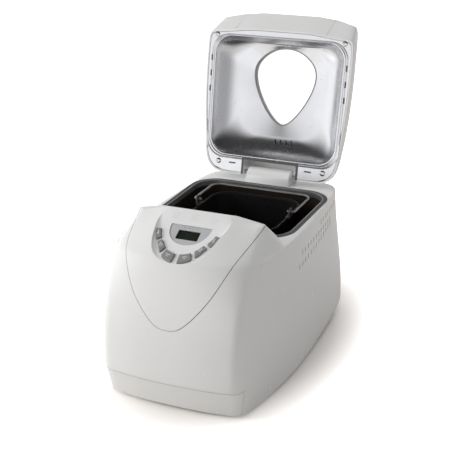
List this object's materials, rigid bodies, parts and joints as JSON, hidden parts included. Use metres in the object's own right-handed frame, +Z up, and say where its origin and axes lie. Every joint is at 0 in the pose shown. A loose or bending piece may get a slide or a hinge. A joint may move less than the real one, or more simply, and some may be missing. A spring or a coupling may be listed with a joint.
{
  "type": "bread machine",
  "caption": "Countertop bread machine with a bowed front, sloping console, lift-out pan with bail and a hinged lid with a window, shown lid open.",
  "frame": {"origin": "on the surface the machine stands on, under the middle of its outline with the lid standing open", "axes": "+Z up, +X to the right of a person facing the console, front towards -Y"},
  "size_m": [0.2288, 0.4338, 0.4245],
  "materials": {
    "white_plastic": "satin white moulding",
    "silver_plastic": "silver-grey moulding",
    "button_grey": "metallic grey keys",
    "lcd_dark": "dark display",
    "clear_lens": "clear",
    "window_clear": "clear",
    "gasket_rubber": "dark gasket",
    "foot_rubber": "brown-grey",
    "liner_silver": "silver paint",
    "chamber_coated": "dark oven coating",
    "pan_nonstick": "non-stick coating",
    "bright_steel": "bright",
    "screw_steel": "plated",
    "sheath_steel": "heat-stained sheath",
    "cast_alloy": "die cast",
    "plated_sheet": "zinc plated",
    "nylon_ivory": "moulded nylon",
    "belt_rubber": "belt",
    "motor_paint": "dark grey",
    "board_green": "circuit board",
    "board_brown": "circuit board with components",
    "capacitor_white": "moulded case",
    "bearing_brass": "sintered bush"
  },
  "bodies": {
    "housing": {"main_housing": "white_plastic", "front_panel": "white_plastic", "base_tray": "white_plastic", "rubber_feet": "foot_rubber", "base_screws": "screw_steel", "cord_gland": "gasket_rubber", "display_bezel": "silver_plastic", "lcd_display": "lcd_dark", "display_window": "clear_lens", "control_board": "board_green", "rim_seal": "gasket_rubber", "oven_chamber": "chamber_coated", "heating_element": "sheath_steel", "element_clips": "bright_steel", "temperature_sensor": "bright_steel", "pan_seat": "bright_steel", "chassis_plate": "plated_sheet", "chassis_screws": "screw_steel", "bearing_housing": "cast_alloy", "drive_belt": "belt_rubber", "motor": "motor_paint", "motor_screws": "screw_steel", "motor_capacitor": "capacitor_white", "power_board": "board_brown", "hinge_block": "white_plastic", "hinge_pin": "bright_steel", "block_screws": "screw_steel"},
    "lid": {"lid_shell": "white_plastic", "lid_liner": "liner_silver", "window_seal": "gasket_rubber", "window_frame": "white_plastic", "window_glass": "window_clear", "outer_window": "window_clear", "lid_screws": "screw_steel", "lid_knuckles": "bright_steel"},
    "pan": {"bread_pan": "pan_nonstick", "pan_base_ring": "cast_alloy", "pan_bearing": "bearing_brass", "pan_ears": "bright_steel"},
    "bail": {"bail_handle": "bright_steel"},
    "kneader_shaft": {"pan_shaft": "bright_steel"},
    "paddle": {"kneading_paddle": "pan_nonstick"},
    "drive": {"drive_shaft": "bright_steel", "large_pulley": "nylon_ivory"},
    "motor_rotor": {"motor_pulley": "cast_alloy"},
    "key_1": {"button_1": "button_grey"},
    "key_2": {"button_2": "button_grey"},
    "key_3": {"button_3": "button_grey"},
    "key_4": {"button_4": "button_grey"},
    "key_5": {"button_5": "button_grey"},
    "key_6": {"button_6": "button_grey"}
  },
  "joints": [
    {"name": "lid_hinge", "type": "hinge", "parent": "housing", "child": "lid", "pos_m": [0, 0.13205, 0.2064], "axis": [-1, 0, 0], "range_deg": [-104, 0]},
    {"name": "pan_lift", "type": "slide", "parent": "housing", "child": "pan", "axis": [0, 0, 1], "range_m": [0, 0.16]},
    {"name": "bail_swing", "type": "hinge", "parent": "pan", "child": "bail", "pos_m": [0, 0.03305, 0.1945], "axis": [1, 0, 0], "range_deg": [0, 180]},
    {"name": "shaft_spin", "type": "hinge", "parent": "pan", "child": "kneader_shaft", "pos_m": [0, 0.03305, 0.065], "axis": [0, 0, 1], "continuous": true},
    {"name": "paddle_lift", "type": "slide", "parent": "kneader_shaft", "child": "paddle", "axis": [0, 0, 1], "range_m": [0, 0.1]},
    {"name": "drive_spin", "type": "hinge", "parent": "housing", "child": "drive", "pos_m": [0, 0.03305, 0.04], "axis": [0, 0, 1], "continuous": true},
    {"name": "rotor_spin", "type": "hinge", "parent": "housing", "child": "motor_rotor", "pos_m": [0, -0.12595, 0.02], "axis": [0, 0, 1], "continuous": true},
    {"name": "press_1", "type": "slide", "parent": "housing", "child": "key_1", "axis": [0, 0.4695, -0.8829], "range_m": [0, 0.0012], "stiffness_N_per_m": 300, "springref_m": -0.001},
    {"name": "press_2", "type": "slide", "parent": "housing", "child": "key_2", "axis": [0, 0.4695, -0.8829], "range_m": [0, 0.0012], "stiffness_N_per_m": 300, "springref_m": -0.001},
    {"name": "press_3", "type": "slide", "parent": "housing", "child": "key_3", "axis": [0, 0.4695, -0.8829], "range_m": [0, 0.0012], "stiffness_N_per_m": 300, "springref_m": -0.001},
    {"name": "press_4", "type": "slide", "parent": "housing", "child": "key_4", "axis": [0, 0.4695, -0.8829], "range_m": [0, 0.0012], "stiffness_N_per_m": 300, "springref_m": -0.001},
    {"name": "press_5", "type": "slide", "parent": "housing", "child": "key_5", "axis": [0, 0.4695, -0.8829], "range_m": [0, 0.0012], "stiffness_N_per_m": 300, "springref_m": -0.001},
    {"name": "press_6", "type": "slide", "parent": "housing", "child": "key_6", "axis": [0, 0.4695, -0.8829], "range_m": [0, 0.0012], "stiffness_N_per_m": 300, "springref_m": -0.001}
  ],
  "couplings": [
    {"joint": "shaft_spin", "follows": "drive_spin", "ratio": 1},
    {"joint": "rotor_spin", "follows": "drive_spin", "ratio": 5.7143}
  ]
}
